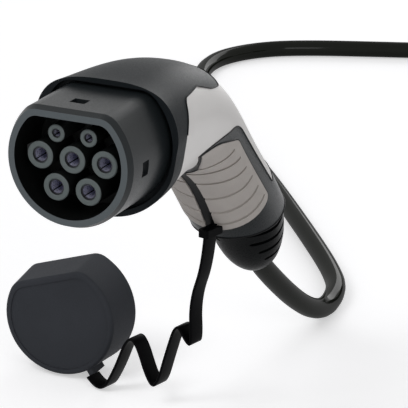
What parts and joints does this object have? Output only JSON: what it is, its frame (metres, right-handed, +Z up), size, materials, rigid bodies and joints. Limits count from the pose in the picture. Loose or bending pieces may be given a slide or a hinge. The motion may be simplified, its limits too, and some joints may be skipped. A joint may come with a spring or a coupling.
{
  "type": "ev charging cable",
  "caption": "Vehicle charging cable with a ribbed pistol-grip connector, tethered dust cap, coiled cable and a matching plug at the far end.",
  "frame": {"origin": "mouth of the centre (earth) contact's bore in the vehicle connector", "axes": "-Y along the nose towards the vehicle, +Z up, +X to the right of the connector's face as seen from behind the picture's camera"},
  "size_m": [0.4311, 0.9955, 0.2084],
  "materials": {
    "nose_plastic": "moulded",
    "insulator_plastic": "moulded",
    "contact_metal": "silver plated",
    "cover_plastic": "moulded",
    "shell_plastic": "moulded",
    "pad_rubber": "soft",
    "spine_rubber": "soft",
    "relief_rubber": "soft",
    "cable_jacket": "smooth jacket",
    "strap_rubber": "smooth",
    "cap_rubber": "smooth",
    "wire_insulation": "insulated",
    "clamp_plastic": "moulded"
  },
  "bodies": {
    "root": {"nose_housing": "nose_plastic", "contact_insulator": "insulator_plastic", "contact_retainer": "clamp_plastic", "contact_earth": "contact_metal", "contact_neutral": "contact_metal", "contact_line_1": "contact_metal", "contact_line_2": "contact_metal", "contact_line_3": "contact_metal", "contact_pilot": "contact_metal", "contact_proximity": "contact_metal", "head_cover": "cover_plastic", "handle_shell": "shell_plastic", "grip_frame": "cover_plastic", "grip_pad_right": "pad_rubber", "grip_pad_left": "pad_rubber", "grip_spine": "spine_rubber", "strain_relief": "relief_rubber", "cable_clamp": "clamp_plastic", "conductors": "wire_insulation", "strap_clip": "strap_rubber", "tether_strap": "strap_rubber", "cap": "cap_rubber", "cable_lead": "cable_jacket", "cable_coil": "cable_jacket", "cable_tail": "cable_jacket", "plug_nose_housing": "nose_plastic", "plug_insulator": "insulator_plastic", "plug_power_pins": "contact_metal", "plug_pilot_pins": "contact_metal", "plug_head_cover": "cover_plastic", "plug_handle_shell": "shell_plastic", "plug_grip_frame": "cover_plastic", "plug_grip_pad_right": "pad_rubber", "plug_grip_pad_left": "pad_rubber", "plug_grip_spine": "spine_rubber", "plug_strain_relief": "relief_rubber"}
  },
  "joints": []
}
